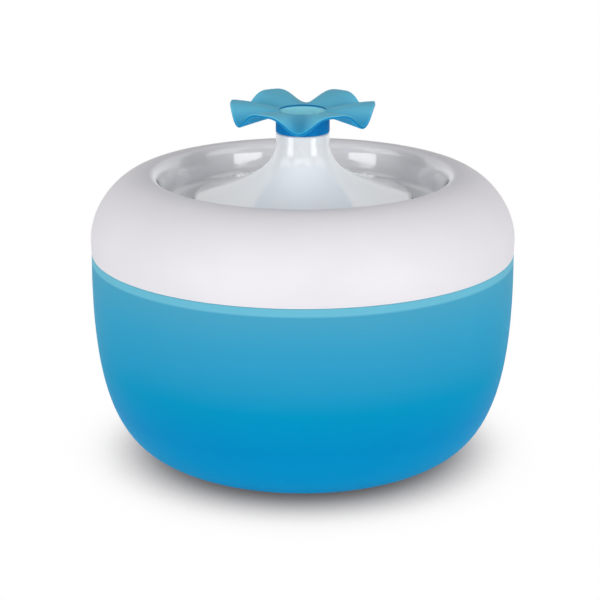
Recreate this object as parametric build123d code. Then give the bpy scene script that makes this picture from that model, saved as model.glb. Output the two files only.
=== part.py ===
"""Table-top drinking fountain for cats and small dogs.

A submersible pump stands on the floor of a frosted bowl and lifts water through a riser pipe to a
flower-shaped spout. The water runs down a glossy dome, gathers in the moat of the white top ring,
and drains past the dome's brim through a filter back into the bowl.

Frame: millimetres, +Z up, origin on the surface the fountain stands on, on the bowl's axis.
The pump takes water in at its front, towards -Y. The power lead leaves the bowl at the back, +Y.
"""

import os
from math import cos, hypot, radians, sin

from build123d import *

# ---------------------------------------------------------------- driving dimensions
fit_gap = 0.3            # play between pieces that lift out of each other
seat_gap = 0.1           # play under a flat seat

# Reservoir bowl
rim_r = 110.0
rim_z = 110.0
foot_ring_r = 63.0
floor_under_z = 1.2      # underside of the foot ring, above the table
floor_top_z = 4.4
wall = 2.6
rebate_depth = 4.0       # the top ring's skirt drops this far inside the rim
rebate_wall = 1.4
recess_r = 50.0          # shallow recess under the floor
recess_depth = 1.0
foot_count = 6
foot_r = 4.6
foot_circle_r = 56.5
foot_pocket_depth = 1.2

# Lead notch at the back of the rim
notch_r = 4.0
notch_z = 104.5
lead_r = 2.0             # radius of the low-voltage lead that passes here

# Top ring
bulge_r = 110.2
bulge_z = 117.0
crown_r = 81.0
crown_z = 150.6
moat_r = 72.8            # foot of the moat's steep wall
moat_z = 133.1           # floor of the moat beside the wall
ring_wall = 2.4
well_r = 60.0            # bore of the filter well
well_top_z = 132.7
well_floor_z = 117.0
well_ledge = 6.0
ring_rib_count = 8
rib_wall = 1.6

# Filter tray and filter
tray_wall = 1.6
tray_top_z = 132.0
hub_r = 9.7              # bore of the tray's hub
hub_wall = 1.7
hub_top_z = 136.4
hub_bottom_z = 113.0
filter_r = 57.0
filter_bore_r = 12.2
filter_bottom_z = 119.2
filter_top_z = 131.2

# Dome
brim_r = 56.6
brim_z = 139.4
neck_r = 13.9
neck_top_z = 171.6
downpipe_r = 7.6
downpipe_wall = 1.7
downpipe_end_z = 113.6
socket_r = 10.3          # socket in the neck for the nozzle's plug
socket_z = 163.0
dome_boss_z = 158.0      # where the boss that sits on the tray's hub meets the shell
dome_rib_count = 6

# Nozzle and flower
nozzle_bore_r = 7.6
nozzle_groove_r = 8.4    # floor of the O-ring's groove
nozzle_groove_low = 3.4  # above the socket's floor
nozzle_groove_height = 2.2
nozzle_wire_r = 0.8      # of the O-ring
flange_r = 12.5
sleeve_r = 11.4
sleeve_top_z = 181.7
diffuser_z = 174.6
petal_count = 6
flower_turn = -3.0       # how far the front ruffle stands off the front, degrees
mouth_r = 12.2
mouth_z = 183.2
tip_r = 37.2
crest_rise = 4.0         # how far a crest stands above the mouth at the petal tips
crest_ease = 1.8         # 1 for a straight ridge, more for one that levels out towards its tip
trough_drop = 4.2        # how far a trough hangs below the mouth at the tips
trough_ease = 1.2        # 1 for a straight trough, more for one that starts level
crest_breadth = 0.47     # 0 for an even wave, more for broad crests and narrow troughs
petal_wall = 1.6
petal_edge_r = 0.6
flower_lean = 1.0        # how far the ruffles lean to the front, degrees

# Pump: block, volute and outlet
pump_axis_z = 34.0
pump_half_w = 18.0
pump_bottom_z = 11.5
pump_top_z = 49.5
pump_front_y = 7.0       # where the motor block meets the intake cover
pump_back_y = 39.0
pump_wall = 2.0
volute_r = 13.6
volute_bore_r = 11.8
volute_front_y = -7.0
volute_back_y = 5.0
well_bore_r = 6.8        # rotor well
well_end_y = 29.0
shaft_r = 1.0
spigot_r = 5.0
spigot_bore_r = 3.6
spigot_top_z = 62.0
corner_r = 4.0
cup_stem_r = 2.1
cup_stem_height = 1.2

# Pump: motor
core_half_w = 14.0       # lamination stack
core_y = (12.0, 26.0)
core_z = (16.0, 43.0)
core_leg_gap = 6.6       # half the gap between the stack's legs
yoke_top_z = 21.0
former_half_w = 6.4      # bobbin round the yoke
former_y = (11.2, 26.8)
former_z = (15.2, 21.8)
former_wall = 0.8
winding_half_w = 5.6
winding_y = (9.6, 28.4)
winding_z = (13.9, 24.2)
gland_z = 20.0
gland_length = 8.0

# Pump: rotor and impeller
bush_r = 3.55
bush_length = 3.9
front_bush_r = 2.35
magnet_front_y = 4.8
wheel_r = 10.0
wheel_hub_r = 3.2
wheel_plate = 1.2
blade_count = 6
blade_wall = 1.2
blade_height = 7.0
blade_sweep_r = 8.6

# Pump: intake cover, sponge and dial
cover_front_y = -24.0
cover_wall = 1.6
cover_front_r = 2.5
intake_slot_count = 8
intake_slot_pitch = 3.6
intake_slot_width = 1.8
side_slot_width = 3.0
sponge_y = (-19.4, -11.0)
dial_z = 40.4
dial_r = 3.6
dial_stem_r = 1.9
shutter_r = 6.9
port_r = 1.2             # bypass ports that the dial's shutter closes
port_circle_r = 5.3

# Riser
riser_bore_r = 5.1
riser_wall = 1.4
riser_bottom_z = 51.0
riser_top_z = 130.0
seal_groove_r = 5.9
seal_groove_low = 6.0    # below the riser's top
seal_groove_height = 2.2
seal_wire_r = 0.7


# ---------------------------------------------------------------- small helpers
def turned(outline):
    """Solid of revolution about the fountain's axis, from an outline in (radius, height)."""
    return revolve(Plane.XZ * make_face(outline), Axis.Z)


def turned_polygon(*points):
    return turned(Polyline(*points, close=True))


def tube(r_out, r_in, z_low, z_high):
    return turned_polygon((r_in, z_low), (r_out, z_low), (r_out, z_high), (r_in, z_high))


def disc(r, z_low, z_high):
    return Pos(0, 0, z_low) * Cylinder(r, z_high - z_low, align=(Align.CENTER, Align.CENTER, Align.MIN))


def span_box(x, y, z):
    """Box between two corners, given as (low, high) along each axis."""
    middle = Pos((x[0] + x[1]) / 2, (y[0] + y[1]) / 2, (z[0] + z[1]) / 2)
    return middle * Box(x[1] - x[0], y[1] - y[0], z[1] - z[0])


def rod_y(r, y_low, y_high, x=0.0, z=pump_axis_z):
    """Round bar along Y."""
    bar = Cylinder(r, y_high - y_low, align=(Align.CENTER, Align.CENTER, Align.MIN))
    return Pos(x, y_low, z) * Rot(-90, 0, 0) * bar


def bar_y(y, half_w, z, corner_r):
    """Bar along Y, centred on x = 0, with its four long edges rounded."""
    section = RectangleRounded(2 * half_w, z[1] - z[0], corner_r)
    return Pos(0, y[1], (z[0] + z[1]) / 2) * Rot(90, 0, 0) * extrude(section, y[1] - y[0])


def around(shape, count, first=0.0):
    """Copies of a shape, evenly spaced about the fountain's axis."""
    return [Rot(0, 0, first + k * 360 / count) * shape for k in range(count)]


def cut_all(shape, tools):
    for tool in tools:
        shape = shape - tool
    return shape


def radial_plate(outline, thickness):
    """Flat plate standing in the XZ plane, from an outline in (radius, height)."""
    return extrude(Plane.XZ * make_face(outline), thickness / 2, both=True)


# ---------------------------------------------------------------- reservoir
def reservoir_bowl():
    """Frosted bowl: a round-bottomed shell with a foot ring and a rebated rim."""
    inner_r = rim_r - wall
    outer = Bezier(
        (foot_ring_r, floor_under_z), (foot_ring_r + 34, floor_under_z),
        (rim_r + 1.7, 31), (rim_r, rim_z - 0.6),
    )
    inner = Bezier(
        (inner_r, rim_z - rebate_depth), (inner_r + 1.4, 32.5),
        (foot_ring_r + 31.5, floor_top_z), (foot_ring_r - 2, floor_top_z),
    )
    under = Polyline(
        (0, floor_under_z + recess_depth), (recess_r, floor_under_z + recess_depth),
        (recess_r + 1, floor_under_z), (foot_ring_r, floor_under_z),
    )
    rim = Polyline(
        (rim_r, rim_z - 0.6), (rim_r - 0.4, rim_z), (rim_r - rebate_wall, rim_z),
        (rim_r - rebate_wall, rim_z - rebate_depth), (inner_r, rim_z - rebate_depth),
    )
    floor = Polyline(
        (foot_ring_r - 2, floor_top_z), (0, floor_top_z), (0, floor_under_z + recess_depth),
    )
    bowl = turned(under + outer + rim + inner + floor)
    pocket = Pos(foot_circle_r, 0, 0) * disc(foot_r + 0.1, 0, floor_under_z + foot_pocket_depth)
    return cut_all(bowl, around(pocket, foot_count)) - notch_cutter(notch_r)


def notch_cutter(half_width, y_inner=98.0):
    """U-shaped cutter for the lead's way out over the back of the rim."""
    y_outer = rim_r + 8
    round_part = rod_y(half_width, y_inner, y_outer, z=notch_z)
    return round_part + span_box((-half_width, half_width), (y_inner, y_outer), (notch_z, rim_z + 0.1))


def silicone_feet():
    """Non-slip pads in the pockets of the foot ring."""
    height = floor_under_z + foot_pocket_depth - seat_gap
    pad = Pos(foot_circle_r, 0, 0) * disc(foot_r, 0, height)
    pad = chamfer(pad.edges().group_by(Axis.Z)[0], 0.4)
    return Compound(children=around(pad, foot_count))


def lead_grommet():
    """Soft plug in the rim's notch, with a slit bore that grips the lead."""
    top_z = rim_z - 0.5
    wall_y = rim_r - wall - 0.2

    def layer(r, y_low, y_high):
        return rod_y(r, y_low, y_high, z=notch_z) + span_box((-r, r), (y_low, y_high), (notch_z, top_z))

    plug = layer(notch_r - 0.1, wall_y - 1, rim_r - 0.6) + layer(notch_r + 1.4, wall_y - 2, wall_y)
    bore = rod_y(lead_r, 100, 112, z=notch_z)
    slit = span_box((-0.2, 0.2), (100, 112), (notch_z, rim_z))
    return plug - bore - slit


# ---------------------------------------------------------------- top ring
def ring_skin(inset):
    """The ring's arched outline, moved inwards from the visible surface.

    The curves run up the outer side and shoulder, over the crown, down the moat's steep wall and
    along its floor to the filter well.
    """
    outer_r, top_z, wall_r, floor_z = bulge_r - inset, crown_z - inset, moat_r + inset, moat_z - inset
    side = Bezier(
        (rim_r - 0.1 - inset, rim_z + 0.2), (outer_r, rim_z + 3), (outer_r, bulge_z - 2), (outer_r, bulge_z),
    )
    shoulder = Bezier(
        (outer_r, bulge_z), (outer_r, bulge_z + 16), (crown_r + 14.5, top_z), (crown_r, top_z),
    )
    bank = Bezier(
        (crown_r, top_z), (crown_r - 6, top_z), (wall_r + 1.7, top_z - 3.6), (wall_r, moat_z + 3),
    )
    corner = Bezier(
        (wall_r, moat_z + 3), (wall_r - 0.4, moat_z + 1), (wall_r - 1.6, floor_z), (moat_r - 3.3, floor_z),
    )
    floor = Line((moat_r - 3.3, floor_z), (well_r + inset, well_top_z - inset))
    return side, shoulder, bank, corner, floor


def joined(curves):
    """One outline from curves that meet end to end."""
    first, *others = curves
    for curve in others:
        first = first + curve
    return first


def ring_rib():
    """One stiffening rib between the ring's skins, with a round window."""
    _, shoulder, bank, corner, floor = ring_skin(ring_wall / 2)
    rib_low_z = bulge_z + 6
    window_r, window_offset = 13.0, 7.0
    edge = Polyline(
        (well_r + ring_wall / 2, well_top_z - ring_wall / 2), (well_r + ring_wall / 2, rib_low_z),
        (bulge_r - ring_wall / 2, rib_low_z), (bulge_r - ring_wall / 2, bulge_z),
    )
    area = make_face(edge + joined([shoulder, bank, corner, floor]))
    area -= Pos(crown_r + window_offset, rib_low_z) * Circle(window_r)
    area &= Pos(crown_r, rib_low_z + 20) * Rectangle(80, 40)
    return extrude(Plane.XZ * area, rib_wall / 2, both=True)


def top_ring():
    """White arched ring: skirt, outer skin, crown, moat and filter well in one moulding."""
    skirt_r = rim_r - rebate_wall - fit_gap
    skirt_z = rim_z - rebate_depth + seat_gap
    well_out_r = well_r + ring_wall
    seam = Polyline(
        (skirt_r - ring_wall, skirt_z), (skirt_r, skirt_z), (skirt_r, rim_z + 0.2), (rim_r - 0.1, rim_z + 0.2),
    )
    ledge = Polyline(
        (well_r, well_top_z), (well_r, well_floor_z), (well_r - well_ledge, well_floor_z),
        (well_r - well_ledge, well_floor_z - 2), (well_out_r, well_floor_z - 2),
        (well_out_r, well_top_z - ring_wall),
    )
    back = Polyline(
        (rim_r - 0.1 - ring_wall, rim_z + 0.2), (skirt_r - ring_wall, rim_z - 1), (skirt_r - ring_wall, skirt_z),
    )
    ring = turned(seam + joined(ring_skin(0)) + ledge + joined(ring_skin(ring_wall)[::-1]) + back)
    for rib_copy in around(ring_rib(), ring_rib_count, first=180 / ring_rib_count):
        ring = ring + rib_copy
    return ring - notch_cutter(notch_r + 2.6)


# ---------------------------------------------------------------- filter tray and filter
def radial_slots(r_low, r_high, width, z, count, first=0.0):
    """Cutters for a ring of round-ended radial slots."""
    slot = SlotCenterToCenter(r_high - r_low - width, width)
    cutter = Pos((r_low + r_high) / 2, 0, z[0]) * extrude(slot, z[1] - z[0])
    return around(cutter, count, first)


def filter_tray():
    """Basket that hangs in the ring's well: side wall, slotted floor and a hub for the dome's pipe."""
    outer_r = well_r - 0.6
    floor_z = well_floor_z + seat_gap
    hub_out_r = hub_r + hub_wall
    tray = turned_polygon(
        (hub_r, hub_bottom_z), (hub_out_r, hub_bottom_z), (hub_out_r, floor_z), (outer_r, floor_z),
        (outer_r, tray_top_z), (outer_r - tray_wall, tray_top_z), (outer_r - tray_wall, floor_z + 2),
        (hub_out_r, floor_z + 2), (hub_out_r, hub_top_z), (hub_r, hub_top_z),
    )
    through = (floor_z - 1, floor_z + 3)
    tray = cut_all(tray, radial_slots(14, 32, 3.2, through, 12))
    tray = cut_all(tray, radial_slots(35, 53, 3.2, through, 24, first=7.5))
    finger = Pos(outer_r, 0, tray_top_z) * Rot(0, 90, 0) * Cylinder(7, 8)
    return cut_all(tray, around(finger, 2))


def filter_frame():
    """Cartridge shell: an annular cup with a slotted bottom."""
    wall_t = 1.4
    frame = turned_polygon(
        (filter_bore_r, filter_bottom_z), (filter_r, filter_bottom_z), (filter_r, filter_top_z),
        (filter_r - wall_t, filter_top_z), (filter_r - wall_t, filter_bottom_z + 1.2),
        (filter_bore_r + wall_t, filter_bottom_z + 1.2), (filter_bore_r + wall_t, filter_top_z),
        (filter_bore_r, filter_top_z),
    )
    through = (filter_bottom_z - 1, filter_bottom_z + 2)
    return cut_all(frame, radial_slots(16, 54, 3.0, through, 24))


def filter_bed(z_low, z_high):
    """One layer of the cartridge's filling."""
    return tube(filter_r - 1.6, filter_bore_r + 1.6, z_low, z_high)


# ---------------------------------------------------------------- dome
def dome():
    """Glossy dome: a flared shell with a rolled brim, a neck socket, a downpipe and ribs below."""
    flare = ((neck_r, 167), (13.4, 153), (28.5, 144.8), (brim_r - 2.2, brim_z))
    outer = Bezier(*flare)
    roll = Bezier((brim_r - 2.2, brim_z), (brim_r, brim_z - 0.6), (brim_r, brim_z - 1.6), (brim_r, brim_z - 2.8))
    lip = Polyline((brim_r, brim_z - 2.8), (brim_r - 1.6, brim_z - 2.8), (brim_r - 1.9, brim_z - 2.0))
    boss_r = hub_r + hub_wall
    boss_z = hub_top_z + seat_gap
    under = Bezier((brim_r - 1.9, brim_z - 2.0), (28, 142.6), (13.6, 147), (boss_r, dome_boss_z))
    pipe_r = downpipe_r + downpipe_wall
    inside = Polyline(
        (boss_r, dome_boss_z), (boss_r, boss_z), (pipe_r, boss_z), (pipe_r, downpipe_end_z),
        (downpipe_r, downpipe_end_z), (downpipe_r, socket_z), (socket_r, socket_z),
        (socket_r, neck_top_z), (neck_r - 0.5, neck_top_z), (neck_r, neck_top_z - 0.5), (neck_r, 167),
    )
    shell = turned(outer + roll + lip + under + inside)
    middle = Bezier((12.4, 160), (13.5, 150), (28.2, 143.7), (brim_r - 3, brim_z - 1.1))
    rib_edge = Polyline((brim_r - 3, brim_z - 1.1), (34, boss_z), (boss_r - 1, boss_z), (12.4, 160))
    rib = radial_plate(middle + rib_edge, rib_wall)
    for rib_copy in around(rib, dome_rib_count, first=30):
        shell = shell + rib_copy
    return shell


# ---------------------------------------------------------------- nozzle and flower
def flow_nozzle():
    """Push-in nozzle: a plug for the neck, a flange, a diffuser plate and the sleeve round the mouth."""
    plug_z = socket_z + 0.6
    plug_r = socket_r - fit_gap
    groove_z = socket_z + nozzle_groove_low
    groove_end_z = groove_z + nozzle_groove_height
    flange_z = neck_top_z + seat_gap
    sleeve_wall, plate = 1.2, 1.6
    nozzle = turned_polygon(
        (nozzle_bore_r, plug_z), (plug_r, plug_z), (plug_r, groove_z), (nozzle_groove_r, groove_z),
        (nozzle_groove_r, groove_end_z), (plug_r, groove_end_z), (plug_r, flange_z), (flange_r, flange_z),
        (flange_r, flange_z + 1.2), (sleeve_r, flange_z + 1.2), (sleeve_r, sleeve_top_z - 0.4),
        (sleeve_r - 0.4, sleeve_top_z), (sleeve_r - sleeve_wall, sleeve_top_z),
        (sleeve_r - sleeve_wall, diffuser_z + plate), (0, diffuser_z + plate), (0, diffuser_z),
        (nozzle_bore_r, diffuser_z),
    )
    window_arc = CenterArc((0, 0), 5.0, -38, 76)
    window = Pos(0, 0, diffuser_z - 1) * extrude(SlotArc(window_arc, 3.4), 4)
    return cut_all(nozzle, around(window, 3, first=90))


def nozzle_o_ring():
    middle_z = socket_z + nozzle_groove_low + nozzle_groove_height / 2
    return Pos(0, 0, middle_z) * Torus(nozzle_groove_r + 0.05 + nozzle_wire_r, nozzle_wire_r)


def petal_height(r, angle):
    """Height of the flower's upper surface, with angle 0 in a trough.

    It is level at the mouth. Towards the tips its crests rise and its troughs fall, and the crests
    are the broader of the two.
    """
    share = (r - mouth_r) / (tip_r - mouth_r)
    crest = crest_rise * (1 - max(1 - share, 0.0) ** crest_ease)
    trough = -trough_drop * max(share, 0.0) ** trough_ease
    turn = radians(petal_count * angle)
    lift = (1 - cos(turn)) / 2 + crest_breadth * sin(turn) ** 2 / 2
    return mouth_z + trough + (crest - trough) * lift


def petal_point(r, angle, depth):
    """Point at a depth below the flower's upper surface, measured square to it."""
    step = 1e-4
    slope_r = (petal_height(r + step, angle) - petal_height(r, angle)) / step
    slope_a = (petal_height(r, angle + step) - petal_height(r, angle - step)) / (2 * radians(step) * r)
    normal = Vector(-slope_r, -slope_a, 1).normalized()
    return (Vector(r, 0, petal_height(r, angle)) - normal * depth).rotate(Axis.Z, angle)


def petal():
    """One ruffle of the sheet, as a closed solid: curved top and bottom, ruled sides, rounded tip."""
    rows, columns = 8, 13
    half = 180 / petal_count
    radii = [mouth_r + (tip_r - mouth_r) * i / (rows - 1) for i in range(rows)]
    angles = [half * (2 * j / (columns - 1) - 1) for j in range(columns)]

    def surface(depth):
        points = [[petal_point(r, angle, depth) for angle in angles] for r in radii]
        return Face.make_surface_from_array_of_points(points, tol=1e-3, min_deg=3, max_deg=5)

    top, bottom = surface(0), surface(petal_wall)
    sides = []
    for upper in top.edges():
        lower = min(bottom.edges(), key=lambda edge: (edge.position_at(0.5) - upper.position_at(0.5)).length)
        sides.append(Face.make_surface_from_curves(upper, lower))
    solid = Solid(Shell([top, bottom] + sides))
    tip_edges = [edge for edge in solid.edges() if edge.length > 15 and at_tip(edge)]
    return fillet(tip_edges, petal_edge_r)


def at_tip(edge):
    """Whether an edge runs along the petals' tips."""
    ends = (edge.position_at(0), edge.position_at(0.5))
    return min(hypot(point.X, point.Y) for point in ends) > tip_r - 1.5


def flower_spout():
    """Ruffled flower on a collar that turns on the nozzle's sleeve."""
    first, *others = around(petal(), petal_count)
    flower = first
    for ruffle in others:
        flower = flower + ruffle
    bore_r = sleeve_r + fit_gap
    collar = turned_polygon(
        (flange_r + fit_gap, neck_top_z + 0.2), (neck_r - 0.3, neck_top_z + 0.2), (neck_r, neck_top_z + 0.5),
        (neck_r, mouth_z - 0.8), (bore_r, mouth_z - 0.8), (bore_r, neck_top_z + 1.6),
        (flange_r + fit_gap, neck_top_z + 1.6),
    )
    flower = Rot(0, 0, flower_turn - 90) * flower
    return Pos(0, 0, mouth_z) * Rot(flower_lean, 0, 0) * Pos(0, 0, -mouth_z) * flower + collar


# ---------------------------------------------------------------- pump: motor block
def pump_block_hollow():
    """The potted space round the rotor well, open at the back."""
    y = (pump_front_y + pump_wall, pump_back_y)
    z = (pump_bottom_z + pump_wall, pump_top_z - pump_wall)
    hollow = bar_y(y, pump_half_w - pump_wall, z, corner_r - pump_wall)
    return hollow - rod_y(well_bore_r + 1.2, pump_front_y, well_end_y + 5.2)


def pump_housing():
    """Motor block with its rotor well, the volute chamber, the outlet spigot and the cover's register."""
    z = (pump_bottom_z, pump_top_z)
    block = bar_y((pump_front_y, pump_back_y), pump_half_w, z, corner_r) - pump_block_hollow()
    step = cover_wall + fit_gap
    lip = step + 1.3
    register_y = (pump_front_y - 3, pump_front_y)
    register = bar_y(register_y, pump_half_w - step, (z[0] + step, z[1] - step), corner_r - step)
    register -= bar_y((pump_front_y - 4, pump_front_y), pump_half_w - lip, (z[0] + lip, z[1] - lip), 1.0)
    volute = rod_y(volute_r, volute_front_y, pump_front_y)
    spigot = disc(spigot_r, pump_axis_z + volute_bore_r - 1, spigot_top_z)
    spigot = chamfer(spigot.edges().group_by(Axis.Z)[-1], 0.6)
    spigot += disc(riser_bore_r + riser_wall, pump_top_z + fit_gap, riser_bottom_z)
    body = block + register + volute + spigot
    body -= rod_y(volute_bore_r, volute_front_y - 1, volute_back_y)
    body -= rod_y(well_bore_r, volute_back_y - 1, well_end_y)
    body -= rod_y(bush_r + 0.05, well_end_y - 1, well_end_y + 4)
    body -= disc(spigot_bore_r, pump_axis_z, spigot_top_z + 1)
    stem_hole = disc(cup_stem_r + seat_gap, pump_bottom_z - 1, pump_bottom_z + cup_stem_height + seat_gap)
    for x, y in cup_places():
        body -= Pos(x, y, 0) * stem_hole
    return body


def stator_core():
    """U-shaped lamination stack whose poles embrace the rotor well."""
    beyond_y = (core_y[0] - 1, core_y[1] + 1)
    core = span_box((-core_half_w, core_half_w), core_y, core_z)
    core -= span_box((-core_leg_gap, core_leg_gap), beyond_y, (yoke_top_z, core_z[1] + 1))
    return core - rod_y(well_bore_r + 1.3, *beyond_y)


def winding_bobbin():
    """Flanged former round the core's yoke."""
    flange_y = (winding_y[0] - 0.2, winding_y[1] + 0.2)
    flange_z = (winding_z[0] - 0.2, winding_z[1] + 0.2)
    bobbin = span_box((-former_half_w, former_half_w), former_y, former_z)
    for x_low in (-former_half_w, winding_half_w):
        bobbin += span_box((x_low, x_low + former_wall), flange_y, flange_z)
    return bobbin - span_box((-former_half_w - 1, former_half_w + 1), core_y, (core_z[0], yoke_top_z))


def stator_winding():
    winding = span_box((-winding_half_w, winding_half_w), winding_y, winding_z)
    winding = fillet(winding.edges().filter_by(Axis.X), 1.5)
    return winding - span_box((-former_half_w, former_half_w), former_y, former_z)


def gland_body():
    """The gland before its bore is made: a flange held by the resin and a tapered sleeve outside."""
    flange_y, block_y, end_y = pump_back_y - 5, pump_back_y, pump_back_y + gland_length
    outline = Polyline(
        (flange_y, 0), (flange_y, 4.6), (block_y, 4.6), (block_y, 3.8), (end_y, 3.0), (end_y, 0), close=True,
    )
    return Pos(0, 0, gland_z) * revolve(Plane.YZ * make_face(outline), Axis.Y)


def lead_gland():
    """Rubber gland moulded into the resin, where the lead enters the motor."""
    return gland_body() - rod_y(lead_r, pump_back_y - 3, pump_back_y + gland_length + 1, z=gland_z)


def epoxy_potting():
    """Resin that seals the stator: the block's hollow less everything set in it."""
    set_in_resin = (stator_core(), winding_bobbin(), stator_winding(), gland_body())
    return cut_all(pump_block_hollow(), set_in_resin)


def cup_places():
    return [(x, y) for x in (-12, 12) for y in (13, 33)]


def suction_cups():
    """Soft cups that hold the pump to the bowl's floor, each with a stem pressed into the block."""
    low = floor_top_z + seat_gap
    profile = (
        (0, low + 2.2), (3.5, low + 1.8), (7.2, low), (7.8, low + 0.3), (6.6, low + 2.4),
        (3.2, low + 4.2), (3.2, pump_bottom_z - seat_gap), (cup_stem_r, pump_bottom_z - seat_gap),
        (cup_stem_r, pump_bottom_z + cup_stem_height), (0, pump_bottom_z + cup_stem_height),
    )
    cup = turned_polygon(*profile)
    return Compound(children=[Pos(x, y, 0) * cup for x, y in cup_places()])


def rotor_shaft():
    return rod_y(shaft_r, -8.4, well_end_y + 3.4)


def shaft_bush(y_low, y_high, r):
    return rod_y(r, y_low, y_high) - rod_y(shaft_r + 0.02, y_low - 1, y_high + 1)


# ---------------------------------------------------------------- pump: moving pieces
def rotor_magnet():
    """Ferrite cylinder that runs on the shaft inside the well."""
    magnet = rod_y(well_bore_r - 0.6, magnet_front_y, well_end_y - 1.5)
    magnet = chamfer(magnet.edges().filter_by(GeomType.CIRCLE), 0.5)
    return magnet - rod_y(shaft_r + 0.06, 0, well_end_y)


def turned_about_shaft(shape, angle):
    return Pos(0, 0, pump_axis_z) * Rot(0, angle, 0) * Pos(0, 0, -pump_axis_z) * shape


def impeller():
    """Open impeller: back plate, hub and swept blades."""
    plate_y = (magnet_front_y - 0.2 - wheel_plate, magnet_front_y - 0.2)
    blade_arc = CenterArc((0, -blade_sweep_r), blade_sweep_r, 28, 62)
    blade_area = trace(blade_arc, line_width=blade_wall)
    blade = Pos(0, plate_y[0] + 0.2, pump_axis_z) * Rot(90, 0, 0) * extrude(blade_area, blade_height)
    blade &= rod_y(wheel_r, -blade_height, plate_y[1])
    wheel = rod_y(wheel_hub_r, -5.6, magnet_front_y) + rod_y(wheel_r, *plate_y)
    for k in range(blade_count):
        wheel = wheel + turned_about_shaft(blade, k * 360 / blade_count)
    return wheel - rod_y(shaft_r + 0.06, -7, 6)


def volute_cover():
    """Lid of the volute chamber: its intake eye is bridged by three spokes that carry the front bush."""
    front_y, eye_r, spoke_w = volute_front_y - 2, 6.6, 0.8
    lid = rod_y(volute_r, front_y, volute_front_y - seat_gap)
    lid += rod_y(volute_bore_r - 0.25, volute_front_y - 1, volute_front_y + 1.2)
    lid -= rod_y(volute_bore_r - 1.6, volute_front_y, volute_front_y + 2)
    lid -= rod_y(eye_r, front_y - 1, volute_front_y + 2)
    hub = rod_y(3.4, front_y, volute_front_y + 1.0)
    spoke = span_box((-spoke_w, spoke_w), (front_y, volute_front_y - 0.4), (pump_axis_z, pump_axis_z + eye_r + 0.8))
    for k in range(3):
        hub += turned_about_shaft(spoke, k * 120)
    return (lid + hub) - rod_y(front_bush_r + 0.05, volute_front_y - 1.4, volute_front_y + 2)


def intake_slots():
    """Cutters for the upright slots in the cover's front and the slots in its sides."""
    front = SlotOverall(15, intake_slot_width, rotation=90)
    cutters = []
    for k in range(intake_slot_count):
        x = (k - (intake_slot_count - 1) / 2) * intake_slot_pitch
        cutters.append(Pos(x, cover_front_y, 22.5) * Rot(90, 0, 0) * extrude(front, 4, both=True))
    side = SlotOverall(18, side_slot_width, rotation=90)
    for z in (22, 32):
        cutters.append(Pos(0, -8, z) * Rot(0, 90, 0) * extrude(side, 30, both=True))
    return cutters


def intake_cover():
    """Front cover of the pump: a slotted box that slides forward off the block."""
    z_low, z_high = pump_bottom_z, pump_top_z
    back_y = pump_front_y - 0.2
    cover = bar_y((cover_front_y, back_y), pump_half_w, (z_low, z_high), corner_r)
    cover = fillet(cover.faces().sort_by(Axis.Y)[0].edges(), cover_front_r)
    inside_y = (cover_front_y + cover_wall, back_y + 1)
    inside_z = (z_low + cover_wall, z_high - cover_wall)
    cover -= bar_y(inside_y, pump_half_w - cover_wall, inside_z, corner_r - cover_wall)
    cover = cut_all(cover, intake_slots())
    slot_r = spigot_r + 0.6
    slot_z = (z_high - 4, z_high + 1)
    cover -= disc(slot_r, *slot_z) + span_box((-slot_r, slot_r), (0, back_y + 1), slot_z)
    through_y = (cover_front_y - 1, cover_front_y + 3)
    cover -= rod_y(dial_stem_r + fit_gap, *through_y, z=dial_z)
    for x_port, z_port in dial_ports():
        cover -= rod_y(port_r, *through_y, x=x_port, z=z_port)
    return cover


def dial_ports():
    """Bypass holes round the flow dial, on its lower half."""
    ring = [Vector(port_circle_r, 0, 0).rotate(Axis.Z, angle) for angle in (210, 270, 330)]
    return [(v.X, dial_z + v.Y) for v in ring]


def prefilter_sponge():
    z = (pump_bottom_z + cover_wall, pump_top_z - cover_wall)
    return bar_y(sponge_y, pump_half_w - cover_wall, z, corner_r - cover_wall)


def flow_dial():
    """Flow regulator: a thumb bar outside, a stem through the cover and a half-round shutter inside."""
    front = cover_front_y
    inside = front + cover_wall
    shutter_y = (inside + fit_gap, inside + 1.3)
    stem = rod_y(dial_stem_r, front - 2.5, shutter_y[1], z=dial_z)
    thumb = rod_y(dial_r, front - 2.0, front - fit_gap, z=dial_z)
    thumb += span_box((-1.0, 1.0), (front - 3.6, front - fit_gap), (dial_z - 3.2, dial_z + 6.6))
    shutter = rod_y(shutter_r, *shutter_y, z=dial_z)
    shutter -= span_box((-8, 8), (inside, inside + 2), (dial_z + dial_stem_r, dial_z + 9))
    return stem + thumb + shutter


def riser_tube():
    """Rigid pipe from the pump's spigot up into the dome, with a grooved collar for its seal."""
    out_r = riser_bore_r + riser_wall
    collar_r = downpipe_r - 0.5
    groove_z = riser_top_z - seal_groove_low
    groove_end_z = groove_z + seal_groove_height
    return turned_polygon(
        (riser_bore_r, riser_bottom_z), (out_r, riser_bottom_z), (out_r, riser_top_z - 12),
        (collar_r, riser_top_z - 11), (collar_r, groove_z), (seal_groove_r, groove_z),
        (seal_groove_r, groove_end_z), (collar_r, groove_end_z), (collar_r, riser_top_z - 0.6),
        (collar_r - 0.6, riser_top_z), (riser_bore_r, riser_top_z),
    )


def riser_seal():
    middle_z = riser_top_z - seal_groove_low + seal_groove_height / 2
    return Pos(0, 0, middle_z) * Torus(seal_groove_r + 0.05 + seal_wire_r, seal_wire_r)


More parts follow.
